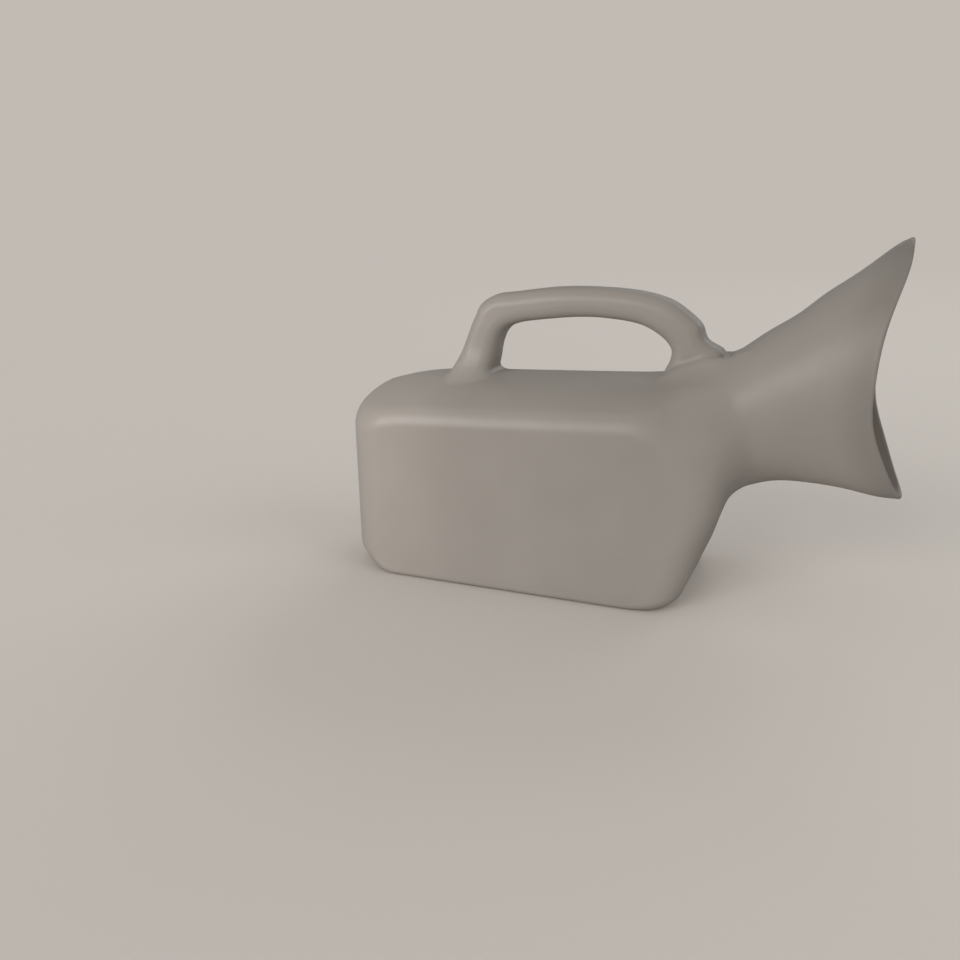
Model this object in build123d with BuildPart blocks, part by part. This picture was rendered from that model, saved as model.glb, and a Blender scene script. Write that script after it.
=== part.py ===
from build123d import *
from math import dist
import os

os.makedirs("parts", exist_ok=True)

# Female urine bottle, blow-moulded in milky polyethylene. Millimetres.
# +X runs along the bottle towards the mouth, +Y to its left side, +Z up.
# Origin: middle of the flat base.

wall = 1.8               # moulded wall thickness
pick_tol = 0.01          # tolerance when picking corners by position

# --- reservoir ---
body_width = 92.0
rear_x = -88.0           # rear wall
seam_x = 104.0           # plane where the reservoir's throat meets the neck
base_front_x = 84.1      # where the slanted front wall would meet the base
front_lean_x = 101.0     # foremost corner of the front wall
front_lean_z = 44.4
base_front_inset = 1.45  # moves of these two corners per mm of inset, along X
front_lean_inset = 1.05
top_front_x = 88.0       # where the top would meet the upper front
top_rear_z = 98.0        # crown of the top at the rear wall
top_slope = 0.040        # rise of the top towards the mouth, mm per mm
crown_drop = 13.5        # crown height over the side edges
shoulder_r = 5.0         # edge between side wall and crowned top
base_edge_r = 5.0        # long edges of the base
rear_low_r = 15.5        # rear wall to base
rear_top_r = 18.0        # rear wall to top
front_low_r = 16.0       # base to front wall
front_lean_r = 22.0      # foremost corner
front_top_r = 30.0       # upper front to top
rear_corner_r = 24.0     # vertical edges, rear
front_corner_r = 28.0    # vertical edges, front

# root of the neck: x, centre z, half width, half height
neck_root_sections = [
    (56.0, 68.0, 43.5, 33.5),
    (80.0, 76.5, 39.0, 32.0),
    (seam_x, 85.0, 30.0, 32.0),
]

# extents that reach clear of the body when it is cut to shape
clear_half_w = 60.0
clear_length = 200.0
clear_top = 140.0
clear_bottom = -40.0

# --- neck, funnel and mouth ---
# funnel: x, half width, underside z, top z
funnel_sections = [
    (seam_x, 30.0, 53.0, 117.8),
    (112.0, 29.2, 56.2, 123.8),
    (124.0, 29.4, 58.0, 132.6),
    (140.0, 30.6, 58.2, 145.0),
    (158.0, 33.0, 56.6, 158.6),
    (184.0, 36.6, 54.6, 178.0),
]
# saddle-shaped mouth edge seen from the side: x, z
mouth_curve = [
    (180.5, 47.0), (176.0, 56.5), (167.8, 74.7), (162.4, 92.8), (161.0, 111.0),
    (162.4, 129.2), (166.4, 147.3), (169.9, 160.0), (172.0, 172.0), (173.0, 180.0),
]
mouth_rear_x = seam_x - 10  # rear end of the block that trims the funnel
bead_length = 3.0        # rim bead, back from the mouth edge along X
bead_out = 0.9           # rim bead stands proud outside
bead_in = 0.5            # and inside

# --- handle ---
handle_width = 19.0
handle_edge_r = 6.0
core_overrun = 6.0       # the grip's hollow runs past both of its ends
# upper side of the grip, from rear foot to front foot: x, z
handle_outer = [
    (-44.7, 98.0), (-38.2, 108.9), (-34.5, 116.8), (-31.2, 125.1), (-28.7, 130.2),
    (-25.2, 135.4), (-18.1, 139.9), (-6.4, 142.1), (14.4, 144.6), (34.5, 144.9),
    (54.0, 143.7), (68.5, 140.0), (78.0, 134.0), (85.2, 125.6),
]
# side towards the finger opening, likewise: x, z
handle_window = [
    (-19.6, 98.0), (-18.8, 109.9), (-16.3, 117.8), (-12.8, 123.3), (-6.6, 126.9), (4.1, 128.8),
    (24.7, 130.8), (39.8, 130.7), (54.8, 128.3), (64.8, 123.8), (70.0, 117.8), (70.7, 112.5),
]
rear_foot_x = -29.2
rear_foot_top_z = 107.0
# rear foot: z, length, width, corner radius
rear_foot_sections = [
    (rear_foot_top_z, 20.6, handle_width, handle_edge_r),
    (102.5, 23.0, 21.5, 7.0),
    (98.8, 29.0, 30.0, 10.0),
    (95.0, 39.0, 45.0, 17.0),
]
rear_hollow_depth = 20.0
# front foot seen from the side, x, z: crest from the grip down to the neck root,
# lower corner, and inner side from the reservoir up to the grip
front_foot_crest = [handle_outer[-1], (87.6, 121.6), (93.8, 118.6), (101.0, 117.2), (106.0, 116.0)]
front_foot_corner = (106.0, 100.0)
front_foot_inside = [(63.0, 98.0), (67.2, 103.0), (69.8, 107.8), handle_window[-1]]
front_foot_edge_r = 4.0
# hollow of the front foot seen from the side: x, z
front_hollow_outline = [
    (73.4, 112.5), (84.2, 121.4), (88.0, 118.2), (93.0, 114.5),
    (93.0, 95.0), (70.0, 95.0), (72.4, 107.0),
]

# --- volume scale ---
# each 100 ml line: ml, z over the outside of the base, from the cavity's volume
scale_levels = [
    (100, 8.9), (200, 15.6), (300, 22.2), (400, 28.7),
    (500, 35.1), (600, 41.4), (700, 47.7), (800, 54.1),
]
scale_x = 20.0           # end of the lines nearest the mouth
long_line = 24.0         # every 100 ml
short_line = 12.0        # midway between two long lines
line_w = 0.9
digit_h = 4.2
digit_w = 2.4
digit_pitch = digit_w + 1.1
digit_offset = 3.5       # end of the long line to the middle of the first digit
stroke = 0.7
mark_height = 0.5        # the marks stand proud by this much

# seven-segment numerals: a top, g middle, d bottom,
# f and b upper left and right, e and c lower left and right
digit_segments = {
    "0": "abcdef", "1": "bc", "2": "abged", "3": "abgcd", "4": "fgbc",
    "5": "afgcd", "6": "afgedc", "7": "abc", "8": "abcdefg",
}
bar_x = (digit_w - stroke) / 2
bar_z = (digit_h - stroke) / 2
upright = bar_z + stroke
# centre across, centre up, width, height
segment_boxes = {
    "a": (0, bar_z, digit_w, stroke),
    "g": (0, 0, digit_w, stroke),
    "d": (0, -bar_z, digit_w, stroke),
    "f": (-bar_x, bar_z / 2, stroke, upright),
    "b": (bar_x, bar_z / 2, stroke, upright),
    "e": (-bar_x, -bar_z / 2, stroke, upright),
    "c": (bar_x, -bar_z / 2, stroke, upright),
}


def reservoir_form(inset):
    """Solid reservoir with its throat, every face moved inwards by inset."""
    half_w = body_width / 2 - inset
    back_x = rear_x + inset
    crown_z = top_rear_z - inset
    side_top_z = crown_z - crown_drop
    top_front_z = top_rear_z + (top_front_x - rear_x) * top_slope - inset
    with BuildPart() as form:
        # side profile; in the sketch, Y is the height
        with BuildSketch(Plane.XZ):
            with BuildLine():
                Polyline(
                    (back_x, inset),
                    (base_front_x - inset * base_front_inset, inset),
                    (front_lean_x - inset * front_lean_inset, front_lean_z),
                    (top_front_x - inset, top_front_z),
                    (back_x, crown_z),
                    close=True,
                )
            make_face()
            fillet([v for v in vertices() if v.X < 0 and v.Y < 50], rear_low_r - inset)
            fillet(
                [v for v in vertices() if v.X < back_x + pick_tol and v.Y > 90 - inset],
                rear_top_r - inset,
            )
            fillet(
                [v for v in vertices() if v.X > 75 and v.Y < inset + pick_tol],
                front_low_r - inset,
            )
            fillet(
                [v for v in vertices() if abs(v.Y - front_lean_z) < pick_tol and v.X > 90],
                front_lean_r - inset,
            )
            fillet([v for v in vertices() if v.X > 80 and v.Y > 90], front_top_r - inset)
        extrude(amount=clear_half_w, both=True)
        # plan outline
        with BuildSketch(Plane.XY):
            with BuildLine():
                Polyline(
                    (back_x, -half_w), (seam_x, -half_w), (seam_x, half_w), (back_x, half_w),
                    close=True,
                )
            make_face()
            fillet(vertices().group_by(Axis.X)[0], rear_corner_r - inset)
            fillet(vertices().group_by(Axis.X)[-1], front_corner_r - inset)
        extrude(amount=clear_top, mode=Mode.INTERSECT)
        # rounded long edges of the base
        with BuildSketch(Plane.YZ.offset(rear_x)):
            with BuildLine():
                Polyline(
                    (-half_w, inset), (half_w, inset), (half_w, clear_top), (-half_w, clear_top),
                    close=True,
                )
            make_face()
            fillet(vertices().group_by(Axis.Y)[0], base_edge_r - inset)
        extrude(amount=clear_length, mode=Mode.INTERSECT)
        # crowned, sloping top
        with BuildSketch(Plane.YZ.offset(rear_x)):
            with BuildLine():
                Polyline(
                    (-half_w, side_top_z), (-half_w, clear_bottom),
                    (half_w, clear_bottom), (half_w, side_top_z),
                )
                ThreePointArc((half_w, side_top_z), (0, crown_z), (-half_w, side_top_z))
            make_face()
            fillet(
                [v for v in vertices() if abs(v.Y - side_top_z) < pick_tol],
                shoulder_r - inset,
            )
        extrude(amount=clear_length, dir=(1, 0, top_slope), mode=Mode.INTERSECT)
        # root of the neck: an oval cone that grows out of the top and the front
        for x, centre_z, root_half_w, root_half_h in neck_root_sections:
            with BuildSketch(Plane.YZ.offset(x)):
                with Locations((0, centre_z)):
                    Ellipse(root_half_w - inset, root_half_h - inset)
        loft()
    return form.part


def funnel_form(inset):
    """Solid funnel, its side moved inwards by inset (outwards when negative)."""
    with BuildPart() as form:
        for x, half_w, low_z, high_z in funnel_sections:
            with BuildSketch(Plane.YZ.offset(x)):
                with Locations((0, (low_z + high_z) / 2)):
                    Ellipse(half_w - inset, (high_z - low_z) / 2 - inset)
        loft()
    return form.part


def behind_mouth(shift):
    """Block behind the saddle-shaped mouth edge, the edge moved back by shift."""
    with BuildPart() as block:
        with BuildSketch(Plane.XZ):
            with BuildLine():
                edge = Spline([(x - shift, z) for x, z in mouth_curve])
                Polyline(
                    edge @ 1,
                    (mouth_rear_x, mouth_curve[-1][1]),
                    (mouth_rear_x, mouth_curve[0][1]),
                    edge @ 0,
                )
            make_face()
        extrude(amount=clear_half_w, both=True)
    return block.part


def point_beyond(end, neighbour):
    """Point core_overrun past end, on the line from its neighbour."""
    reach = core_overrun / dist(end, neighbour)
    return tuple(a + (a - b) * reach for a, b in zip(end, neighbour))


def offset_curve(points, distance):
    """Points moved to the left of their run by distance, with both ends carried on."""
    moved = []
    for i, (x, z) in enumerate(points):
        before = points[max(i - 1, 0)]
        after = points[min(i + 1, len(points) - 1)]
        scale = distance / dist(before, after)
        moved.append((x - (after[1] - before[1]) * scale, z + (after[0] - before[0]) * scale))
    return [point_beyond(moved[0], moved[1]), *moved, point_beyond(moved[-1], moved[-2])]


def handle_bar(outer_points, window_points, inset):
    """Solid bar between two side curves, its sides and edge radius reduced by inset."""
    with BuildPart() as bar:
        with BuildSketch(Plane.XZ):
            with BuildLine():
                top = Spline(outer_points)
                under = Spline(window_points)
                Line(top @ 0, under @ 0)
                Line(top @ 1, under @ 1)
            make_face()
        extrude(amount=handle_width / 2 - inset, both=True)
        fillet(edges().filter_by(GeomType.BSPLINE), handle_edge_r - inset)
    return bar.part


def rear_foot_hollow():
    """Hollow of the rear foot, open to the grip above and the reservoir below."""
    with BuildPart() as hollow:
        with BuildSketch(Plane.XY.offset(rear_foot_top_z)):
            with Locations((rear_foot_x, 0)):
                RectangleRounded(
                    rear_foot_sections[0][1] - 2 * wall,
                    handle_width - 2 * wall,
                    handle_edge_r - wall,
                )
        extrude(amount=-rear_hollow_depth)
    return hollow.part


def front_foot_hollow():
    """Hollow of the front foot, open to the grip and to the reservoir."""
    with BuildPart() as hollow:
        with BuildSketch(Plane.XZ):
            with BuildLine():
                Polyline(*front_hollow_outline, close=True)
            make_face()
        extrude(amount=handle_width / 2 - wall, both=True)
    return hollow.part


def reservoir_shell():
    with BuildPart() as shell:
        add(body_outer)
        add(reservoir_form(wall), mode=Mode.SUBTRACT)
        add(rear_hollow, mode=Mode.SUBTRACT)
        add(front_hollow, mode=Mode.SUBTRACT)
    return shell.part


def neck_funnel():
    """Funnel wall, up to the back of the rim bead."""
    with BuildPart() as funnel:
        add(funnel_form(0))
        add(funnel_form(wall), mode=Mode.SUBTRACT)
        add(behind_mouth(bead_length), mode=Mode.INTERSECT)
    return funnel.part


def rim_bead():
    with BuildPart() as bead:
        add(funnel_form(-bead_out))
        add(funnel_form(wall + bead_in), mode=Mode.SUBTRACT)
        add(behind_mouth(0), mode=Mode.INTERSECT)
        add(behind_mouth(bead_length), mode=Mode.SUBTRACT)
    return bead.part


def handle_grip():
    """The bar and its two legs, hollow, cut off at the top of the rear foot."""
    core = handle_bar(offset_curve(handle_outer, -wall), offset_curve(handle_window, wall), wall)
    with BuildPart() as grip:
        add(handle_bar(handle_outer, handle_window, 0))
        add(core, mode=Mode.SUBTRACT)
        split(bisect_by=Plane.XY.offset(rear_foot_top_z), keep=Keep.TOP)
    return grip.part


def handle_rear_foot():
    """Flares from the rear leg onto the crowned top, hollow."""
    with BuildPart() as foot:
        for z, length, width, corner_r in rear_foot_sections:
            with BuildSketch(Plane.XY.offset(z)):
                with Locations((rear_foot_x, 0)):
                    RectangleRounded(length, width, corner_r)
        loft()
        add(rear_hollow, mode=Mode.SUBTRACT)
        add(body_outer, mode=Mode.SUBTRACT)
    return foot.part


def handle_front_foot():
    """Saddle between the front leg and the root of the neck, hollow."""
    with BuildPart() as foot:
        with BuildSketch(Plane.XZ):
            with BuildLine():
                crest = Spline(front_foot_crest)
                Polyline(crest @ 1, front_foot_corner, front_foot_inside[0])
                inside = Spline(front_foot_inside)
                Line(inside @ 1, crest @ 0)
            make_face()
        extrude(amount=handle_width / 2, both=True)
        fillet(edges().filter_by(GeomType.BSPLINE), front_foot_edge_r)
        add(body_outer, mode=Mode.SUBTRACT)
        add(funnel_form(0), mode=Mode.SUBTRACT)
        add(front_hollow, mode=Mode.SUBTRACT)
    return foot.part


def volume_scale():
    """Raised lines and numerals on the left side wall, running rearwards from scale_x."""
    side = Plane(origin=(scale_x, body_width / 2, 0), x_dir=(-1, 0, 0), z_dir=(0, 1, 0))
    with BuildPart() as marks:
        with BuildSketch(side):
            for i, (ml, z) in enumerate(scale_levels):
                with Locations((long_line / 2, z)):
                    Rectangle(long_line, line_w)
                if i:
                    with Locations((short_line / 2, (z + scale_levels[i - 1][1]) / 2)):
                        Rectangle(short_line, line_w)
                for k, digit in enumerate(str(ml)):
                    digit_x = long_line + digit_offset + k * digit_pitch
                    for name in digit_segments[digit]:
                        across, up, width, height = segment_boxes[name]
                        with Locations((digit_x + across, z + up)):
                            Rectangle(width, height)
        extrude(amount=mark_height)
    return marks.part


# shapes that several pieces share
body_outer = reservoir_form(0)
rear_hollow = rear_foot_hollow()
front_hollow = front_foot_hollow()

for build_piece in (
    reservoir_shell, neck_funnel, rim_bead,
    handle_grip, handle_rear_foot, handle_front_foot, volume_scale,
):
    piece = build_piece()
    piece.label = build_piece.__name__
    export_step(piece, f"parts/{piece.label}.step")
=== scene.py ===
"""Female urine bottle, a single blow moulding.

The bottle stands on z = 0, its length along X and its width along Y, symmetric about y = 0.
The neck and mouth are at the front (+X), and the looped handle stands on the crowned top.
Lengths are in mm until the meshes are made.
"""
import math

import bmesh
import bpy
import numpy as np
from mathutils import Matrix, Vector


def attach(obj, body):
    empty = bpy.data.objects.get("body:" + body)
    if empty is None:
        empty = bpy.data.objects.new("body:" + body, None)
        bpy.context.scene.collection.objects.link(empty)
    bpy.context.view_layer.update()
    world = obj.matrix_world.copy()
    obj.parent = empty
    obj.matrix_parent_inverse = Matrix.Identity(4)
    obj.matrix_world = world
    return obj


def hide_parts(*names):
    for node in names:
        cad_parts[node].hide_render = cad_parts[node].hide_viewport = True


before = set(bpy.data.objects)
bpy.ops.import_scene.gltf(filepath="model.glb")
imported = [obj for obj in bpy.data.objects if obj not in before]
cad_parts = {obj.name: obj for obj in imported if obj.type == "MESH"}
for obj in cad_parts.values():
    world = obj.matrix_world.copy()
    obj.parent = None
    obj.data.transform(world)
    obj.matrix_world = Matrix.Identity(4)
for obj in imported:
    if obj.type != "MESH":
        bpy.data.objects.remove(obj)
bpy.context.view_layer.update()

MM_PER_M = 1000.0
STEP = 1.1              # spacing of the moulding's mesh
WALL = 1.8              # wall thickness
BEAD = 3.0              # length of the rounded lip along X
LIP_SWELL = 0.12        # how far the lip stands out from each face of the wall

# reservoir
HALF_W, REAR_X = 46.0, -88.0
TOP_Z, TOP_RISE = 98.546, 0.038                 # height at the rear wall, rise per mm of X
CROWN_RADIUS, CROWN_REACH = 84, 60              # arc of the top across Y, and where it stops
REAR_SAG = 7.153
FRONT_LOW_X, FRONT_LOW_LEAN = 87.853, 0.401     # lower front wall, leaning out as it rises
FRONT_HOLLOW = 1.485
FRONT_HIGH_X, FRONT_HIGH_LEAN = 110, 0.3        # upper front wall, leaning back
FRONT_FOLD_R = 13.13
REAR_CORNER_R = 23.408
FRONT_CORNER_LOW_R, FRONT_CORNER_HIGH_R = 12.166, 24
TOP_EDGE_R, TOP_EDGE_REAR, TOP_EDGE_FRONT = 5.6, 3, 12.0            # radius, then what each end adds
BASE_EDGE_R, BASE_EDGE_REAR, BASE_EDGE_FRONT = 3.078, 11.504, 5.182

# neck and mouth
NECK_REAR_X, NECK_REAR_EDGE = 52, 8.0
MOUTH_REF_X = 161.0     # mouth position from which the mesh grid is bent

# handle
HANDLE_HALF, HANDLE_EDGE = 9.6, 6.4             # half width in Y, edge radius
HANDLE_FOOT_SPREAD = 9.0

# outlines of the handle as (x, z)
HANDLE_OUTER = [
    (-51, 90), (-43.4, 98.9), (-37.9, 108.8), (-34.5, 116.8), (-31.2, 125.1), (-28.8, 129.9),
    (-25.8, 135.7), (-18.1, 140.5), (-6.4, 142.1), (14.4, 144.6), (34.5, 145), (54, 143.7),
    (68.5, 140), (78, 134), (83.8, 128.6), (85.3, 124.4), (87.5, 121.2), (93.8, 117.8),
    (97.4, 113.1), (104, 113), (104, 90)]
HANDLE_WINDOW = [
    (-13.6, 90), (-14.6, 97), (-20.1, 100.7), (-18.3, 109.8), (-16.4, 117.9), (-12.8, 123.9),
    (-6.6, 126.9), (4.1, 128.8), (24.7, 130.9), (39.8, 130.7), (54.8, 128.6), (64.8, 123.9),
    (70.7, 117.8), (70.4, 112), (68, 107), (67.8, 102.2), (66.5, 96), (58, 90)]


# ---------------------------------------------------------------- fields and curves
def round_max(a, b, r):
    """Intersection of two fields, the edge rounded to radius r."""
    outside = np.sqrt(np.maximum(a + r, 0) ** 2 + np.maximum(b + r, 0) ** 2)
    return np.minimum(np.maximum(a, b), -r) + outside


def round_min(a, b, r):
    """Union of two fields, the corner filled to radius r."""
    inside = np.sqrt(np.maximum(r - a, 0) ** 2 + np.maximum(r - b, 0) ** 2)
    return np.maximum(np.minimum(a, b), r) - inside


def ease(x, start, end):
    """Smooth step, 0 at start and 1 at end; start may be the larger."""
    t = np.clip((x - start) / (end - start), 0, 1)
    return t * t * (3 - 2 * t)


class Curve:
    """Natural cubic spline y(x), carried on straight outside its points."""

    def __init__(self, points):
        table = np.array(points, float)
        self.x, self.y = table[:, 0], table[:, 1]
        n = len(table)
        h = np.diff(self.x)
        matrix, right = np.eye(n), np.zeros(n)
        for i in range(1, n - 1):
            matrix[i, i - 1:i + 2] = h[i - 1], 2 * (h[i - 1] + h[i]), h[i]
            right[i] = 6 * ((self.y[i + 1] - self.y[i]) / h[i] - (self.y[i] - self.y[i - 1]) / h[i - 1])
        self.bend, self.span = np.linalg.solve(matrix, right), h

    def __call__(self, x):
        x = np.asarray(x, float)
        xs, ys, bend, span = self.x, self.y, self.bend, self.span
        held = np.clip(x, xs[0], xs[-1])
        i = np.clip(np.searchsorted(xs, held) - 1, 0, len(span) - 1)
        h = span[i]
        a, b = (xs[i + 1] - held) / h, (held - xs[i]) / h
        curved = ((a ** 3 - a) * bend[i] + (b ** 3 - b) * bend[i + 1]) * h * h / 6
        y = a * ys[i] + b * ys[i + 1] + curved
        first = (ys[1] - ys[0]) / span[0] - span[0] * bend[1] / 6
        last = (ys[-1] - ys[-2]) / span[-1] + span[-1] * bend[-2] / 6
        before = np.where(x < xs[0], (x - xs[0]) * first, 0)
        return y + before + np.where(x > xs[-1], (x - xs[-1]) * last, 0)


# neck half width, lower edge and upper edge, each as (x, value)
neck_half = Curve([
    (50, 40.0), (68, 39.0), (84, 36.2), (98, 33.0), (112, 30.6), (126, 30.2), (142, 31.4),
    (158, 33.2), (182, 35.5)])
neck_low = Curve([
    (50, 34), (80, 45), (94, 51.2), (106, 53.3), (118, 57.2), (134, 58.6), (155, 56.8),
    (168, 54.8), (182, 55.6)])
neck_high = Curve([
    (50, 98), (70, 103.5), (84, 108.5), (94, 113), (104, 119.5), (115, 127.7), (126.6, 135.5),
    (136.5, 144), (146.1, 151), (157, 159.6), (165.5, 166.2), (171, 169), (180, 175)])
# x of the mouth's edge seen from the side, as (z, x)
mouth_x = Curve([
    (45, 183), (56.5, 175.5), (74.7, 167.4), (92.8, 161.4), (111, 160.5), (129.2, 161.9),
    (147.3, 165.9), (160, 168.9), (168, 169.4), (178, 170)])


def mouth_edge(z):
    return mouth_x(np.clip(z, 48, 176))


def smooth_outline(points, per_span=12):
    """Catmull-Rom curve through the points."""
    p = np.array(points, float)
    ends = np.vstack([2 * p[0] - p[1], p, 2 * p[-1] - p[-2]])
    t = np.linspace(0, 1, per_span, endpoint=False)[:, None]
    spans = []
    for a, b, c, d in zip(ends, ends[1:], ends[2:], ends[3:]):
        square, cube = (2 * a - 5 * b + 4 * c - d) * t ** 2, (3 * b - a - 3 * c + d) * t ** 3
        spans.append(0.5 * (2 * b + (c - a) * t + square + cube))
    return np.vstack(spans + [p[-1:]])


def polygon_distance(polygon, X, Z):
    """Signed distance to a closed polygon, negative inside."""
    points = np.stack([X.ravel(), Z.ravel()], 1)
    best, inside = np.full(len(points), 1e9), np.zeros(len(points), bool)
    for a, b in zip(polygon, np.roll(polygon, -1, 0)):
        side = b - a
        length_sq = side @ side
        if length_sq < 1e-12:
            continue
        t = np.clip(((points - a) @ side) / length_sq, 0, 1)
        away = points - a - t[:, None] * side
        best = np.minimum(best, (away * away).sum(1))
        crosses = (a[1] > points[:, 1]) != (b[1] > points[:, 1])
        if crosses.any():
            height = side[1] if abs(side[1]) > 1e-12 else 1e-12
            inside ^= crosses & (points[:, 0] < a[0] + (points[:, 1] - a[1]) * side[0] / height)
    distance = np.sqrt(best)
    return np.where(inside, -distance, distance).reshape(X.shape)


def blur(table, sigma):
    """Gaussian blur of a 2-D table; sigma is in cells."""
    n = int(3 * sigma + 1)
    kernel = np.exp(-0.5 * (np.arange(-n, n + 1) / sigma) ** 2)
    kernel /= kernel.sum()
    for axis in (0, 1):
        padded = np.pad(table, [(n, n) if i == axis else (0, 0) for i in range(2)], mode="edge")
        table = sum(kernel[i] * np.take(padded, np.arange(i, i + table.shape[axis]), axis=axis)
                    for i in range(2 * n + 1))
    return table


def spline_weights(t):
    """Weights of the four cubic B-spline neighbours."""
    return [(1 - t) ** 3 / 6, (3 * t ** 3 - 6 * t ** 2 + 4) / 6,
            (-3 * t ** 3 + 3 * t ** 2 + 3 * t + 1) / 6, t ** 3 / 6]


class DistanceTable:
    """Smooth lookup in a 2-D table of distances; distance is carried on outside it."""

    def __init__(self, table, x0, z0, cell):
        self.table, self.x0, self.z0, self.cell = table, x0, z0, cell

    def __call__(self, x, z):
        fx, fz = (x - self.x0) / self.cell, (z - self.z0) / self.cell
        nx, nz = self.table.shape
        cx, cz = np.clip(fx, 1, nx - 3), np.clip(fz, 1, nz - 3)
        ix = np.minimum(np.floor(cx).astype(int), nx - 3)
        iz = np.minimum(np.floor(cz).astype(int), nz - 3)
        wx, wz = spline_weights(cx - ix), spline_weights(cz - iz)
        total = 0
        for i in range(4):
            for k in range(4):
                total = total + wx[i] * wz[k] * self.table[ix - 1 + i, iz - 1 + k]
        return total + np.hypot(fx - cx, fz - cz) * self.cell


def handle_table(cell=0.5, blur_cells=1.6):
    xs, zs = np.arange(-75, 125.01, cell), np.arange(78, 162.01, cell)
    X, Z = np.meshgrid(xs, zs, indexing="ij")
    outer = polygon_distance(smooth_outline(HANDLE_OUTER), X, Z)
    window = polygon_distance(smooth_outline(HANDLE_WINDOW), X, Z)
    return DistanceTable(blur(np.maximum(outer, -window), blur_cells), xs[0], zs[0], cell)


handle_profile = handle_table()


# ---------------------------------------------------------------- outer form
def top_z(x, y):
    across = np.minimum(np.abs(y), CROWN_REACH)
    crown_drop = CROWN_RADIUS - np.sqrt(CROWN_RADIUS ** 2 - across * across)
    rear_drop = REAR_SAG * np.maximum(0, (-46 - x) / 42) ** 2
    return TOP_Z + TOP_RISE * (x - REAR_X) - crown_drop - rear_drop


def body(x, y, z):
    """The box-shaped reservoir: crowned top, rounded corners, front wall folded below the neck."""
    hollow = FRONT_HOLLOW * np.maximum(0, 1 - ((z - 36) / 26) ** 2) ** 2
    low = (x - FRONT_LOW_X) - FRONT_LOW_LEAN * (z - 11) + hollow
    low = low / np.sqrt(1 + FRONT_LOW_LEAN ** 2)
    high = ((x - FRONT_HIGH_X) + FRONT_HIGH_LEAN * (z - 50)) / np.sqrt(1 + FRONT_HIGH_LEAN ** 2)
    front = round_max(low, high, FRONT_FOLD_R)
    corner = FRONT_CORNER_LOW_R + (FRONT_CORNER_HIGH_R - FRONT_CORNER_LOW_R) * ease(z, 35, 85)
    walls = round_max(np.abs(y) - HALF_W, REAR_X - x, REAR_CORNER_R)
    walls = round_max(walls, front, corner)

    slope = np.minimum(np.abs(y), CROWN_REACH) / CROWN_RADIUS
    top = (z - top_z(x, y)) * np.sqrt(1 - slope ** 2)
    top_edge = TOP_EDGE_R + TOP_EDGE_REAR * ease(x, -60, -84) + TOP_EDGE_FRONT * ease(x, 60, 90)
    base_edge = BASE_EDGE_R + BASE_EDGE_REAR * ease(x, -60, -82) + BASE_EDGE_FRONT * ease(x, 60, 84)
    return round_max(round_max(walls, top, top_edge), -z, base_edge)


def neck(x, y, z):
    """Elliptical neck that flares into the mouth."""
    a, low, high = neck_half(x), neck_low(x), neck_high(x)
    b, dz = (high - low) / 2, z - (high + low) / 2
    ratio = np.sqrt((y / a) ** 2 + (dz / b) ** 2) + 1e-9
    slope = np.sqrt(y ** 2 / a ** 4 + dz ** 2 / b ** 4) + 1e-9
    return round_max((ratio - 1) * ratio / slope, NECK_REAR_X - x, NECK_REAR_EDGE)


def handle(x, y, z):
    """Looped handle; its rear leg spreads sideways where it stands on the crown."""
    rear_leg = (1 - ease(x, -32, -12)) * (0.35 + 0.65 * ease(x, -50, -38))
    # the exponent delays the spread until low on the leg
    half = HANDLE_HALF + HANDLE_FOOT_SPREAD * ease(z, 119, 92) ** 1.5 * rear_leg
    return round_max(handle_profile(x, z), np.abs(y) - half, HANDLE_EDGE)


def form(x, y, z):
    """The outer form as a filled solid, before its mouth is cut: negative inside."""
    # fillet between reservoir and neck: larger to the front and higher up
    neck_fill = (5.5 + 10.5 * ease(x, 68, 100)) * (0.55 + 0.45 * ease(z, 48, 72))
    solid = round_min(body(x, y, z), neck(x, y, z), neck_fill)
    # fillet at the handle's feet: larger on the flanks
    flank = ease(np.abs(y), 5.0, 13.0)
    flank_fill = flank * (2.6 * ease(x, -46, -36) + 9.0 * ease(x, 56, 78))
    foot_fill = 2.0 + 1.4 * ease(x, -46, -32) - 1.8 * ease(x, 44, 64) + flank_fill
    return round_min(solid, handle(x, y, z), foot_fill)


def gradient(field, points, e=0.15):
    """Slope of a field by central differences over a distance e each way."""
    x, y, z = points.T
    rises = [field(x + e, y, z) - field(x - e, y, z),
             field(x, y + e, z) - field(x, y - e, z),
             field(x, y, z + e) - field(x, y, z - e)]
    return np.stack(rises, 1) / (2 * e)


def unit(vectors):
    return vectors / np.maximum(np.linalg.norm(vectors, axis=1), 1e-12)[:, None]


def settle(points, times=4):
    """Points moved onto the form."""
    for _ in range(times):
        g = gradient(form, points)
        points = points - g * (form(*points.T) / np.maximum((g * g).sum(1), 0.05))[:, None]
    return points


def settle_on(points, level, times=6, longest_move=1.5):
    """Points moved onto the form and the level surface together."""
    for _ in range(times):
        g, k = gradient(form, points), gradient(level, points, 0.02)
        form_value, level_value = form(*points.T), level(*points.T)
        gg, kk, gk = (g * g).sum(1), (k * k).sum(1), (g * k).sum(1)
        det = np.maximum(gg * kk - gk * gk, 1e-6 * gg * kk + 1e-12)
        a = (kk * form_value - gk * level_value) / det
        b = (gg * level_value - gk * form_value) / det
        move = a[:, None] * g + b[:, None] * k
        length = np.linalg.norm(move, axis=1)
        points = points - move * np.minimum(1, longest_move / np.maximum(length, 1e-9))[:, None]
    return points


# ---------------------------------------------------------------- relief over the form
SINK = 0.28                                     # sink of the side panels
BASE_RECESS, BASE_MID_X = 0.9, 1.5
BASE_HALF_X, BASE_HALF_Y, BASE_CORNER = 67.0, 37.0, 12.0
PINCH_HEIGHT, PINCH_WIDTH, PINCH_HALF_X = 0.55, 0.8, 48.0
PARTING_WIDTH = 0.42


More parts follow.
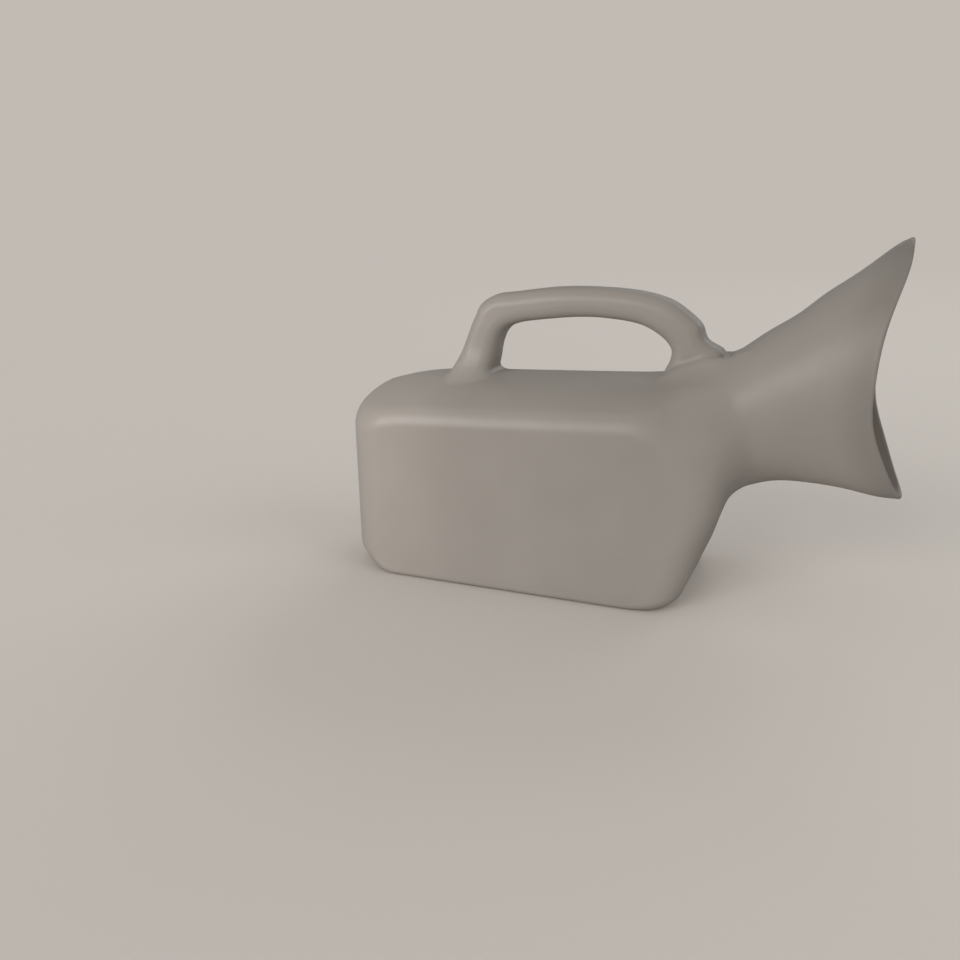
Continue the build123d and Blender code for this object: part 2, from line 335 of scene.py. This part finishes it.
def relief(x, y, z):
    """Height over the form: parting line, sunk side panels, recessed base with its pinch line."""
    side = ease(np.abs(y), 40, 45)
    panel = ease(x, -84, -70) * (1 - ease(x, 62, 86)) * ease(z, 6, 20) * (1 - ease(z, 66, 84))
    d = -SINK * side * panel
    # shallow waves of the wall, fading out at the base
    above_base = ease(z, 4, 14)
    d = d + 0.07 * np.sin(x / 13.0 + 0.6 * np.sin(z / 19.0)) * np.sin(z / 11.0 + 1.0) * above_base
    d = d + 0.05 * np.sin(x / 29.0 + 2.0) * np.sin(y / 17.0 + 0.7) * above_base

    from_mid = np.abs(x - BASE_MID_X)
    base = round_max(from_mid - BASE_HALF_X, np.abs(y) - BASE_HALF_Y, BASE_CORNER)
    foot = 1 - ease(z, 0.0, 2.5)
    d = d - BASE_RECESS * ease(-base, 0.0, 5.0) * foot
    pinch = PINCH_HEIGHT * np.exp(-(y / PINCH_WIDTH) ** 2)
    d = d + pinch * ease(-(from_mid - PINCH_HALF_X), 0.0, 3.0) * foot

    parting = 0.20 + 0.03 * np.sin(x / 7.0) * np.sin(z / 9.0)
    return d + parting * np.exp(-(y / PARTING_WIDTH) ** 2) * ease(z, 0.6, 3.0)


def relief_normal(points, normals):
    """The form's normals less the tangential slope of the relief."""
    g = gradient(relief, points, 0.06)
    g = g - normals * (g * normals).sum(1)[:, None]
    return unit(normals - g)


# ---------------------------------------------------------------- mesh of the form
NEAR_MIDDLE = [0.18, 0.5, 0.95, 1.6]    # closer grid lines in Y, for the parting line


def warp(u, z):
    """x of the grid coordinate u: u = 0 is the line where the rim bead starts."""
    return u + MOUTH_REF_X - BEAD + (mouth_edge(z) - MOUTH_REF_X) * ease(u, -62, 0)


def axis_slices(dims, axis, first, others):
    """Index slices: `first` along the axis, `others` (start, end) along the remaining two."""
    return tuple(first if i == axis else slice(*others[i]) for i in range(len(dims)))


def surface():
    """Quads on the form's surface, one vertex to a cell: points, and faces turned outward."""
    u = np.arange(-252, 2.6 * STEP, STEP)
    v = np.concatenate([NEAR_MIDDLE, np.arange(NEAR_MIDDLE[-1] + STEP, 51, STEP)])
    v = np.concatenate([-v[::-1], v])
    w = np.arange(-2.3, 183, STEP)
    U, V, W = np.meshgrid(u, v, w, indexing="ij")
    field = form(warp(U, W).ravel(), V.ravel(), W.ravel()).reshape(U.shape)
    inside, dims, grid = field < 0, field.shape, (u, v, w)

    # each cell's vertex is the mean of the crossings on its edges
    total = np.zeros(tuple(n - 1 for n in dims) + (3,))
    count = np.zeros(tuple(n - 1 for n in dims))
    for axis in range(3):
        p, q = [i for i in range(3) if i != axis]
        for p_off, q_off in ((0, 0), (0, 1), (1, 0), (1, 1)):
            off = {p: p_off, q: q_off}
            others = {i: (k, dims[i] - 1 + k) for i, k in off.items()}
            a = field[axis_slices(dims, axis, slice(0, dims[axis] - 1), others)]
            b = field[axis_slices(dims, axis, slice(1, dims[axis]), others)]
            hit = (a < 0) != (b < 0)
            idx = np.nonzero(hit)
            t = a[hit] / (a[hit] - b[hit])
            pos = np.zeros((len(t), 3))
            for m in range(3):
                if m == axis:
                    pos[:, m] = grid[m][idx[m]] * (1 - t) + grid[m][idx[m] + 1] * t
                else:
                    pos[:, m] = grid[m][idx[m] + off[m]]
            np.add.at(total, idx, pos)
            np.add.at(count, idx, 1)
    cells = count > 0
    ids = -np.ones(cells.shape, int)
    ids[cells] = np.arange(cells.sum())
    mean = total[cells] / count[cells][:, None]
    points = np.stack([warp(mean[:, 0], mean[:, 2]), mean[:, 1], mean[:, 2]], 1)

    # a quad joins the four cells round every crossed grid edge
    quads = []
    for axis in range(3):
        p, q = [i for i in range(3) if i != axis]
        others = {i: (1, dims[i] - 1) for i in (p, q)}
        a = inside[axis_slices(dims, axis, slice(0, dims[axis] - 1), others)]
        b = inside[axis_slices(dims, axis, slice(1, dims[axis]), others)]
        base = list(np.nonzero(a != b))
        leaving = a[tuple(base)]
        corners = []
        for p_off, q_off in ((0, 0), (1, 0), (1, 1), (0, 1)):
            corner = list(base)
            corner[p], corner[q] = base[p] + p_off, base[q] + q_off
            corners.append(ids[tuple(corner)])
        quad = np.stack(corners, 1)
        turn = leaving if axis == 1 else ~leaving
        quad[turn] = quad[turn][:, ::-1]
        quads.append(quad)
    return points, np.vstack(quads)


def cut(points, faces, level, reach=0.3, longest_slide=0.8):
    """Faces split along level = 0. Points very near the line are first slid onto it."""
    value = level(*points.T)
    slope = np.linalg.norm(gradient(level, points, 0.02), axis=1)
    near = np.abs(value) < reach * STEP * np.maximum(slope, 1e-6)
    if near.any():
        moved = settle_on(points[near], level)
        ok = np.linalg.norm(moved - points[near], axis=1) < longest_slide * STEP
        slid = np.nonzero(near)[0][ok]
        points[slid] = moved[ok]
        value = level(*points.T)
        value[slid] = 0.0
    value[np.abs(value) < 1e-7] = 0.0
    sign = np.sign(value).astype(int)
    result, new, made = [], [], {}
    base = len(points)
    for face in faces:
        signs = [sign[i] for i in face]
        if min(signs) >= 0 or max(signs) <= 0:
            result.append(face)
            continue
        parts = [face]
        if sum(1 for i in range(len(face)) if signs[i] * signs[i - 1] < 0) > 2:
            parts = [(face[0], face[i], face[i + 1]) for i in range(1, len(face) - 1)]
        for part in parts:
            negative, positive = [], []
            for a, b in zip(part, part[1:] + part[:1]):
                if sign[a] <= 0:
                    negative.append(a)
                if sign[a] >= 0:
                    positive.append(a)
                if sign[a] * sign[b] < 0:
                    i, k = key = (min(a, b), max(a, b))
                    if key not in made:
                        t = value[i] / (value[i] - value[k])
                        made[key] = base + len(new)
                        new.append(points[i] * (1 - t) + points[k] * t)
                    negative.append(made[key])
                    positive.append(made[key])
            for side, ring in ((-1, negative), (1, positive)):
                if len(ring) > 2 and any(k >= base or sign[k] * side > 0 for k in ring):
                    result.append(tuple(ring))
    if new:
        points = np.vstack([points, settle_on(np.array(new), level)])
    return points, result


# ---------------------------------------------------------------- regions of the moulding
NECK_SEAM_X = 104.0
FOOT_BOTTOM_Z, REAR_FOOT_TOP_Z = 84.0, 107.0
# sloping seam between the front foot and the grip, from SEAM_START as (x, z)
SEAM_START, SEAM_END = np.array([70.7, 112.5]), np.array([85.2, 125.6])
SEAM_WAY = (SEAM_END - SEAM_START) / np.linalg.norm(SEAM_END - SEAM_START)


def ellipse_level(x, y, mid_x, half_x, half_y):
    # the factor brings the value near to a distance in mm
    return 14 * (np.sqrt(((x - mid_x) / half_x) ** 2 + (y / half_y) ** 2) - 1)


def above_seam(x, z):
    return -(x - SEAM_START[0]) * SEAM_WAY[1] + (z - SEAM_START[1]) * SEAM_WAY[0]


def level_mouth(x, y, z):
    return x - (mouth_edge(z) - BEAD)


def level_neck(x, y, z):
    return x - NECK_SEAM_X


def level_rear(x, y, z):
    foot = ellipse_level(x, y, mid_x=-29.5, half_x=21.0, half_y=24.0)
    return np.maximum(np.maximum(foot, z - REAR_FOOT_TOP_Z), FOOT_BOTTOM_Z - z)


def level_front(x, y, z):
    foot = ellipse_level(x, y, mid_x=82.0, half_x=20.0, half_y=19.0)
    return np.maximum(np.maximum(foot, above_seam(x, z)), FOOT_BOTTOM_Z - z)


def build_form():
    """Points, faces and the name of each face's region, with the mouth cut open."""
    points, quads = surface()
    points = settle(points)
    faces = [tuple(map(int, quad)) for quad in quads]
    for level in (level_mouth, level_neck, level_rear, level_front):
        points, faces = cut(points, faces, level)
    x, y, z = np.array([points[list(f)].mean(0) for f in faces]).T
    labels = np.full(len(faces), "reservoir_shell", dtype=object)
    labels[level_neck(x, y, z) > 0] = "neck_funnel"
    labels[level_rear(x, y, z) < 0] = "handle_rear_foot"
    labels[level_front(x, y, z) < 0] = "handle_front_foot"
    on_handle = (handle_profile(x, z) < 1.0) & (np.abs(y) < HANDLE_HALF + 1) & (x < 90)
    past_feet = (z > 106.9) & (level_front(x, y, z) >= 0) & (above_seam(x, z) > -0.01)
    labels[on_handle & past_feet] = "handle_grip"
    keep = level_mouth(x, y, z) < 0
    return points, [f for f, k in zip(faces, keep) if k], labels[keep]


FORM_POINTS, FORM_FACES, LABELS = build_form()
FORM_NORMALS = unit(gradient(form, FORM_POINTS))
OUTER_POINTS = FORM_POINTS + FORM_NORMALS * relief(*FORM_POINTS.T)[:, None]
OUTER_NORMALS = relief_normal(FORM_POINTS, FORM_NORMALS)
INNER_POINTS = FORM_POINTS - FORM_NORMALS * WALL


# ---------------------------------------------------------------- materials
BACKDROP = (0.535, 0.496, 0.458, 1)


def new_tree(owner):
    owner.use_nodes = True
    owner.node_tree.nodes.clear()
    return owner.node_tree


def add_node(tree, kind, inputs=None, **settings):
    """A node; inputs maps each socket to its value or to the output that feeds it."""
    node = tree.nodes.new(kind)
    for name, value in settings.items():
        setattr(node, name, value)
    for socket, value in (inputs or {}).items():
        if isinstance(value, bpy.types.NodeSocket):
            tree.links.new(value, node.inputs[socket])
        else:
            node.inputs[socket].default_value = value
    return node


def add_ramp(tree, factor, stops):
    """Colour ramp with two stops of (position, colour)."""
    node = add_node(tree, "ShaderNodeValToRGB", {"Fac": factor})
    for element, (position, color) in zip(node.color_ramp.elements, stops):
        element.position = position
        element.color = color
    return node.outputs["Color"]


def plastic():
    """Milky plastic: diffuse and translucent, with a weak gloss over them."""
    material = bpy.data.materials.new("milky_polyethylene")
    tree = new_tree(material)
    output = add_node(tree, "ShaderNodeOutputMaterial")
    place = add_node(tree, "ShaderNodeTexCoord").outputs["Object"]

    def noise(scale, detail, roughness):
        return add_node(tree, "ShaderNodeTexNoise", {
            "Vector": place, "Scale": scale, "Detail": detail,
            "Roughness": roughness}).outputs["Fac"]

    def math_node(operation, *values):
        inputs = dict(enumerate(values))
        return add_node(tree, "ShaderNodeMath", inputs, operation=operation).outputs[0]

    # broad, soft unevenness of the milkiness
    broad = noise(scale=16.0, detail=3.0, roughness=0.55)
    tone = add_ramp(tree, broad, [(0.3, (0.548, 0.514, 0.477, 1)), (0.7, (0.600, 0.567, 0.531, 1))])
    # fine grain over a coarser unevenness
    grain = noise(scale=1500.0, detail=3.0, roughness=0.6)
    peel = noise(scale=210.0, detail=2.0, roughness=0.5)
    grain_share = 0.35
    height = math_node("MULTIPLY_ADD", grain, grain_share, peel)
    bump = add_node(tree, "ShaderNodeBump", {
        "Strength": 0.35, "Distance": 0.00022, "Height": height}).outputs["Normal"]
    roughness = add_node(tree, "ShaderNodeMapRange", {
        "To Min": 0.34, "To Max": 0.48, "Value": peel}).outputs[0]

    # painted shade: the colour is darker where the wall is seen edge-on, and the shade attribute paints
    # more shade over it
    facing = add_node(tree, "ShaderNodeLayerWeight", {"Blend": 0.5}).outputs["Facing"]
    grazing_shade = add_node(tree, "ShaderNodeMapRange", {
        "From Min": 0.15, "From Max": 0.90, "To Min": 1.0, "To Max": 0.70,
        "Value": facing}, interpolation_type="SMOOTHSTEP").outputs[0]
    shaded = add_node(tree, "ShaderNodeAttribute", attribute_name="shade",
                      attribute_type="GEOMETRY").outputs["Fac"]
    painted_darkening = math_node("MULTIPLY", grazing_shade, math_node("SUBTRACT", 1.0, shaded))
    color = add_node(tree, "ShaderNodeVectorMath", {
        0: tone, "Scale": painted_darkening}, operation="SCALE").outputs["Vector"]

    diffuse = add_node(tree, "ShaderNodeBsdfDiffuse", {
        "Roughness": 0.6, "Color": color, "Normal": bump})
    # the two colours multiplied are sockets 6 and 7; light that passes through is warmer
    warm = add_node(tree, "ShaderNodeMix", {
        "Factor": 1.0, 6: color, 7: (1.0, 0.985, 0.955, 1)},
        data_type="RGBA", blend_type="MULTIPLY").outputs[2]
    translucent = add_node(tree, "ShaderNodeBsdfTranslucent", {"Color": warm})
    milky = add_node(tree, "ShaderNodeMixShader", {
        "Fac": 0.42, 1: diffuse.outputs[0], 2: translucent.outputs[0]})
    gloss = add_node(tree, "ShaderNodeBsdfGlossy", {
        "Color": (0.95, 0.95, 0.95, 1), "Roughness": roughness, "Normal": bump})
    fresnel = add_node(tree, "ShaderNodeFresnel", {"IOR": 1.51, "Normal": bump}).outputs[0]
    gloss_strength, gloss_limit = 0.8, 0.085
    softened = math_node("MULTIPLY", fresnel, gloss_strength)
    surface_mix = add_node(tree, "ShaderNodeMixShader", {
        "Fac": math_node("MINIMUM", softened, gloss_limit),
        1: milky.outputs[0], 2: gloss.outputs[0]})
    tree.links.new(surface_mix.outputs[0], output.inputs["Surface"])
    return material


def seam_material():
    """Fully transparent, for the cut faces between pieces."""
    material = bpy.data.materials.new("milky_polyethylene_cut_face")
    tree = new_tree(material)
    clear = add_node(tree, "ShaderNodeBsdfTransparent")
    add_node(tree, "ShaderNodeOutputMaterial", {"Surface": clear.outputs[0]})
    return material


def floor_material():
    """Matt floor that fades into the backdrop with distance."""
    material = bpy.data.materials.new("studio_floor")
    tree = new_tree(material)
    place = add_node(tree, "ShaderNodeTexCoord").outputs["Object"]
    noise = add_node(tree, "ShaderNodeTexNoise", {"Vector": place, "Scale": 3.0, "Detail": 2.0})
    tone = add_ramp(tree, noise.outputs["Fac"], [
        (0.0, (0.800, 0.765, 0.728, 1)), (1.0, (0.815, 0.780, 0.744, 1))])
    matt = add_node(tree, "ShaderNodeBsdfPrincipled", {"Roughness": 0.85, "Base Color": tone})
    distance = add_node(tree, "ShaderNodeVectorMath", {0: place}, operation="LENGTH")
    fade = add_node(tree, "ShaderNodeMapRange", {
        "From Min": 0.45, "From Max": 2.6, "Value": distance.outputs["Value"]},
        interpolation_type="SMOOTHSTEP")
    haze = add_node(tree, "ShaderNodeEmission", {"Strength": 1.0, "Color": BACKDROP})
    mix = add_node(tree, "ShaderNodeMixShader", {
        "Fac": fade.outputs[0], 1: matt.outputs[0], 2: haze.outputs[0]})
    add_node(tree, "ShaderNodeOutputMaterial", {"Surface": mix.outputs[0]})
    return material


MILKY, CUT_FACE = plastic(), seam_material()

# ---------------------------------------------------------------- pieces of the moulding
pieces = {}


def add_object(name, data):
    ob = bpy.data.objects.new(name, data)
    bpy.context.scene.collection.objects.link(ob)
    return ob


def mesh_points(mesh):
    co = np.zeros(len(mesh.vertices) * 3)
    mesh.vertices.foreach_get("co", co)
    return co.reshape(-1, 3)


def add_shade(mesh):
    """Attribute of painted shade: share by which the wall is painted darker, most of all at the mouth's
    edge; below zero, at the rear, it is painted light.
    """
    x, _, z = (mesh_points(mesh) * MM_PER_M).T
    at_edge = 1 - ease(mouth_x(np.clip(z, 48, 172)) - x, 1, 20)
    # painted shade growing towards +X, and painted light at the rear end
    value = 0.09 * ease(x, -70, 80) - 0.13 * (1 - ease(x, -88, -16)) + 0.05 * ease(x, 84, 140)
    # painted shade on the funnel's top and at the mouth's edge near its tip
    value = value + 0.10 * ease(z, 128, 170) + 0.15 * (at_edge * ease(x, 138, 152))
    attribute = mesh.attributes.new("shade", "FLOAT", "POINT")
    attribute.data.foreach_set("value", value.astype(np.float32))


def add_piece(name, points, faces, normals, cut_faces):
    """Smooth piece with a normal to each point; its cut faces are flat and transparent."""
    mesh = bpy.data.meshes.new(name)
    mesh.from_pydata([tuple(p) for p in points / MM_PER_M], [], faces)
    mesh.materials.append(MILKY)
    mesh.materials.append(CUT_FACE)
    mesh.polygons.foreach_set("use_smooth", [True] * len(mesh.polygons))
    slots = np.zeros(len(faces), np.int32)
    slots[list(cut_faces)] = 1
    mesh.polygons.foreach_set("material_index", slots)
    mesh.update()
    add_shade(mesh)
    pieces[name] = add_object(name + "_moulded", mesh)

    loop_normals = np.array([normals[loop.vertex_index] for loop in mesh.loops])
    for polygon in mesh.polygons:
        if polygon.material_index == 1:
            for i in polygon.loop_indices:
                loop_normals[i] = polygon.normal
    mesh.normals_split_custom_set([tuple(n) for n in loop_normals])


def add_shell(name):
    """One region as a closed shell: outer skin, inner skin, and the cut faces between them.

    Returns the outer skin's border edges as pairs of form points."""
    region = [f for f, label in zip(FORM_FACES, LABELS) if label == name]
    used = sorted({i for f in region for i in f})
    local = {i: k for k, i in enumerate(used)}
    n = len(used)
    outer = [tuple(local[i] for i in f) for f in region]
    inner = [tuple(local[i] + n for i in reversed(f)) for f in region]
    edges = dict.fromkeys((a, b) for f in outer for a, b in zip(f, f[1:] + f[:1]))
    border = [(a, b) for a, b in edges if (b, a) not in edges]
    walls = [(b, a, a + n, b + n) for a, b in border]
    skins = outer + inner
    add_piece(name, np.vstack([OUTER_POINTS[used], INNER_POINTS[used]]), skins + walls,
              normals=np.vstack([OUTER_NORMALS[used], -FORM_NORMALS[used]]),
              cut_faces=range(len(skins), len(skins) + len(walls)))
    return [(used[a], used[b]) for a, b in border]


def mouth_loop(border):
    """Points round the mouth in order, those too close together dropped."""
    following = {}
    for a, b in border:
        if all(abs(level_mouth(*FORM_POINTS[i])) < 1e-3 for i in (a, b)):
            following[a] = b
    start = min(following)
    loop, i = [start], following[start]
    while i != start:
        loop.append(i)
        i = following[i]
    line = FORM_POINTS[loop]
    keep = [0]
    for i in range(1, len(line)):
        from_last = np.linalg.norm(line[i] - line[keep[-1]])
        if from_last > 0.45 and np.linalg.norm(line[i] - line[0]) > 0.3:
            keep.append(i)
    return line[keep]


def add_lip(border):
    """The rounded lip of the mouth, a closed profile carried round the mouth's border."""
    line = mouth_loop(border)
    out = unit(gradient(form, line))
    across = gradient(level_mouth, line, 0.02)
    forward = unit(np.cross(unit(np.cross(out, across)), out))
    forward[(forward * across).sum(1) < 0] *= -1
    reach = BEAD / np.abs((forward * across).sum(1))
    lift = relief(*line.T)
    radius, middle = WALL / 2 + LIP_SWELL, -WALL / 2

    # profile as (distance forward, height over the form), from outer face to inner face
    outer, inner, level = [], [], np.zeros_like(reach)
    for along in (0.0, 0.2, 0.4, 0.6):
        ahead = (reach - radius) * along / 0.75
        swell = LIP_SWELL * float(ease(along, 0.0, 0.8))
        outer.append((ahead, swell + lift * (1 - along / 0.75)))
        inner.append((ahead, -WALL - swell + level))
    turn = []
    for degrees in np.linspace(90, -90, 15):
        angle = math.radians(degrees)
        turn.append((reach - radius + radius * math.cos(angle),
                     middle + radius * math.sin(angle) + level))
    profile = outer + turn + inner[::-1]

    rows = [line + forward * ahead[:, None] + out * high[:, None] for ahead, high in profile]
    # the first and last normals match the funnel's
    normals = [out]
    for before, after in zip(profile, profile[2:]):
        d_ahead, d_high = after[0] - before[0], after[1] - before[1]
        normals.append(unit(forward * (-d_high)[:, None] + out * d_ahead[:, None]))
    normals.append(-out)

    m, c = len(line), len(rows)
    points, normals = (np.stack(part, 1).reshape(-1, 3) for part in (rows, normals))
    faces = []
    for i in range(m):
        j = (i + 1) % m
        for t in range(c):
            u = (t + 1) % c
            faces.append((i * c + t, i * c + u, j * c + u, j * c + t))
    a, b, _, d = faces[1]
    if np.dot(np.cross(points[b] - points[a], points[d] - points[a]), normals[a]) < 0:
        faces = [tuple(reversed(f)) for f in faces]
    add_piece("rim_bead", points, faces, normals, cut_faces=range(c - 1, len(faces), c))


borders = {name: add_shell(name) for name in (
    "reservoir_shell", "neck_funnel", "handle_rear_foot", "handle_front_foot", "handle_grip")}
add_lip(borders["neck_funnel"])

# ---------------------------------------------------------------- raised volume scale on the +Y wall
# (millilitres, z of the line)
LEVELS = [(100, 8.9), (200, 15.6), (300, 22.2), (400, 28.7),
          (500, 35.1), (600, 41.4), (700, 47.7), (800, 54.1)]
SCALE_X, LONG, SHORT, LINE = 20.0, 24.0, 12.0, 0.9      # +X end, line lengths, line width
MARK_HEIGHT, MARK_SLOPE, MARK_SINK = 0.5, 0.14, 0.25
DIGIT_SIZE, UNIT_SIZE = 4.2, 3.4


def wall_y(x, z):
    """y of the outer face of the +Y wall."""
    return HALF_W + relief(x, np.full_like(x, HALF_W), z)


def add_mark(bm, outline):
    """A raised mark from a closed outline (x, z), with sloped, softened edges."""
    outline = np.array(outline, float)
    c = len(outline)
    after = np.roll(outline, -1, 0)
    along = unit(after - np.roll(outline, 1, 0))
    normal = np.stack([along[:, 1], -along[:, 0]], 1)
    if np.sum(outline[:, 0] * after[:, 1] - after[:, 0] * outline[:, 1]) < 0:
        normal = -normal
    # rings as (offset outward from the outline, height over the wall)
    rings = [(0.10, -MARK_SINK), (0.10, 0.0), (0.02, MARK_HEIGHT * 0.45),
             (-MARK_SLOPE * 0.5, MARK_HEIGHT * 0.85), (-MARK_SLOPE, MARK_HEIGHT)]
    verts = []
    for offset, height in rings:
        x, z = (outline + normal * offset).T
        co = np.stack([x, wall_y(x, z) + height, z], 1)
        verts += [bm.verts.new(tuple(p / MM_PER_M)) for p in co]
    for k in range(len(rings) - 1):
        for i in range(c):
            j = (i + 1) % c
            corners = (k * c + i, k * c + j, (k + 1) * c + j, (k + 1) * c + i)
            bm.faces.new([verts[v] for v in corners])
    bm.faces.new(verts[-c:])
    bm.faces.new(verts[:c][::-1])


def stadium(length, z, width):
    """Outline of a line with round ends, from SCALE_X towards -X."""
    r = width / 2
    x0, x1 = SCALE_X - length, SCALE_X
    quarter = math.pi / 2
    n = max(2, int((x1 - x0) / 2))
    points = [(x1 - r + r * math.cos(a), z + r * math.sin(a))
              for a in np.linspace(-quarter, quarter, 9)]
    points += [(x, z + r) for x in np.linspace(x1 - r, x0 + r, n)[1:-1]]
    points += [(x0 + r + r * math.cos(a), z + r * math.sin(a))
               for a in np.linspace(quarter, 3 * math.pi / 2, 9)]
    points += [(x, z - r) for x in np.linspace(x0 + r, x1 - r, n)[1:-1]]
    return points


def glyphs(text, size, x_start, z_mid):
    """Raised text, read from +Y. x_start is the side nearest the lines."""
    curve = bpy.data.curves.new("t_" + text, "FONT")
    curve.body = text
    curve.resolution_u = 6
    curve.extrude = 0.5
    ob = add_object("t_" + text, curve)
    bpy.context.view_layer.update()
    depsgraph = bpy.context.evaluated_depsgraph_get()
    mesh = bpy.data.meshes.new_from_object(ob.evaluated_get(depsgraph))
    bpy.data.objects.remove(ob)
    co = mesh_points(mesh)
    low, high = co.min(0), co.max(0)
    k = size / (high[1] - low[1])
    x = x_start - (co[:, 0] - low[0]) * k
    z = z_mid + (co[:, 1] - (low[1] + high[1]) / 2) * k
    y = np.where(co[:, 2] > 0, wall_y(x, z) + MARK_HEIGHT, wall_y(x, z) - MARK_SINK)
    mesh.vertices.foreach_set("co", (np.stack([x, y, z], 1) / MM_PER_M).ravel())
    mesh.update()
    return mesh


def add_scale():
    bm = bmesh.new()
    for _, z in LEVELS:
        add_mark(bm, stadium(LONG, z, LINE))
    for (_, z0), (_, z1) in zip(LEVELS, LEVELS[1:]):
        add_mark(bm, stadium(SHORT, (z0 + z1) / 2, LINE * 0.8))
    lines = bpy.data.meshes.new("volume_scale")
    bm.to_mesh(lines)
    bm.free()

    parts = [lines]
    text_x = SCALE_X - LONG
    for volume, z in LEVELS:
        parts.append(glyphs(str(volume), DIGIT_SIZE, text_x - 2.0, z))
    parts.append(glyphs("ml", UNIT_SIZE, text_x - 4.2, LEVELS[-1][1] + 7.2))
    bm = bmesh.new()
    for part in parts:
        bm.from_mesh(part)
    bmesh.ops.remove_doubles(bm, verts=bm.verts, dist=1e-7)
    bmesh.ops.recalc_face_normals(bm, faces=bm.faces)
    mesh = bpy.data.meshes.new("volume_scale")
    bm.to_mesh(mesh)
    bm.free()
    mesh.materials.append(MILKY)
    add_shade(mesh)
    for polygon in mesh.polygons:
        polygon.use_smooth = False
    pieces["volume_scale"] = add_object("volume_scale_moulded", mesh)


add_scale()
for name, ob in pieces.items():
    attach(ob, "root")
    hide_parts(name)


# ---------------------------------------------------------------- floor, light, camera (metres)
def add_floor():
    """Plain round floor, large enough to reach the horizon."""
    radii, n = [0.3, 0.7, 1.5, 3.0, 6.0, 12.0, 30.0, 90.0], 96
    verts = [(0, 0, 0)]
    for r in radii:
        angles = [2 * math.pi * i / n for i in range(n)]
        verts += [(r * math.cos(a), r * math.sin(a), 0.0) for a in angles]
    faces = [(0, 1 + i, 1 + (i + 1) % n) for i in range(n)]
    for k in range(len(radii) - 1):
        for i in range(n):
            a, b = 1 + k * n + i, 1 + k * n + (i + 1) % n
            faces.append((a, a + n, b + n, b))
    mesh = bpy.data.meshes.new("studio_floor")
    mesh.from_pydata(verts, [], faces)
    mesh.materials.append(floor_material())
    return add_object("studio_floor", mesh)


add_floor()


def add_light(name, kind, energy, color, way):
    """A light shining along way."""
    light = bpy.data.lights.new(name, kind)
    light.energy = energy
    light.color = color
    ob = add_object(name, light)
    ob.rotation_euler = Vector(way).to_track_quat("-Z", "Y").to_euler()
    return ob


def add_key():
    """Near lamp that lights the bottle only, which keeps the floor even."""
    place, target = Vector((-0.36, -0.46, 0.26)), Vector((0.0, 0, 0.06))
    key = add_light("key", "AREA", energy=1.20, color=(1.0, 0.965, 0.925), way=target - place)
    key.data.shape = "DISK"
    key.data.size = 0.30
    key.location = place
    key.visible_camera = False
    receivers = bpy.data.collections.new("key_light_receivers")
    for ob in pieces.values():
        receivers.objects.link(ob)
    key.light_linking.receiver_collection = receivers


def add_sun(name, energy, degrees, color, way):
    sun = add_light(name, "SUN", energy, color, way)
    sun.data.angle = math.radians(degrees)


add_key()
add_sun("soft_front", energy=0.84, degrees=35, color=(1.0, 0.97, 0.935), way=(0.30, 0.86, -0.41))
FILL_COLOR = (1.0, 0.975, 0.945)
add_sun("soft_back", energy=0.85, degrees=50, color=FILL_COLOR, way=(-0.18, -0.93, -0.32))
add_sun("soft_mouth_side", energy=0.50, degrees=50, color=FILL_COLOR, way=(-0.92, 0.16, -0.34))


def add_world():
    """Soft room light, stronger from the sides than from above; the camera sees the backdrop."""
    world = bpy.data.worlds.new("studio")
    tree = new_tree(world)
    way = add_node(tree, "ShaderNodeTexCoord").outputs["Generated"]
    height = add_node(tree, "ShaderNodeSeparateXYZ", {0: way}).outputs["Z"]
    strength = add_node(tree, "ShaderNodeMapRange", {
        "Value": height, "From Min": 0.0, "From Max": 1.0, "To Min": 0.60, "To Max": 0.30})
    room = add_node(tree, "ShaderNodeBackground", {
        "Color": (1.0, 0.965, 0.93, 1), "Strength": strength.outputs[0]})
    seen = add_node(tree, "ShaderNodeBackground", {"Color": BACKDROP, "Strength": 1.0})
    path = add_node(tree, "ShaderNodeLightPath")
    mix = add_node(tree, "ShaderNodeMixShader", {
        "Fac": path.outputs["Is Camera Ray"], 1: room.outputs[0], 2: seen.outputs[0]})
    add_node(tree, "ShaderNodeOutputWorld", {"Surface": mix.outputs[0]})
    bpy.context.scene.world = world


def add_camera():
    """Camera from its level axes, then rolled about its line of sight."""
    right = Vector((0.91757436, 0.3975642, 0.0))
    forward = Vector((-0.3804962, 0.87818157, -0.28986164))
    up = Vector((-0.11523861, 0.26596961, 0.95706856))
    roll = -0.01788255
    rolled_right = right * math.cos(roll) + up * math.sin(roll)
    rolled_up = up * math.cos(roll) - right * math.sin(roll)
    pose = Matrix((rolled_right, rolled_up, -forward)).transposed().to_4x4()
    pose.translation = (0.160248, -0.439091, 0.186541)
    data = bpy.data.cameras.new("view")
    data.lens = 34.84
    data.sensor_width = 36.0
    data.clip_start = 0.02
    data.clip_end = 200.0
    camera = add_object("view", data)
    camera.matrix_world = pose
    bpy.context.scene.camera = camera


add_world()
add_camera()
bpy.context.scene.view_settings.view_transform = "Standard"
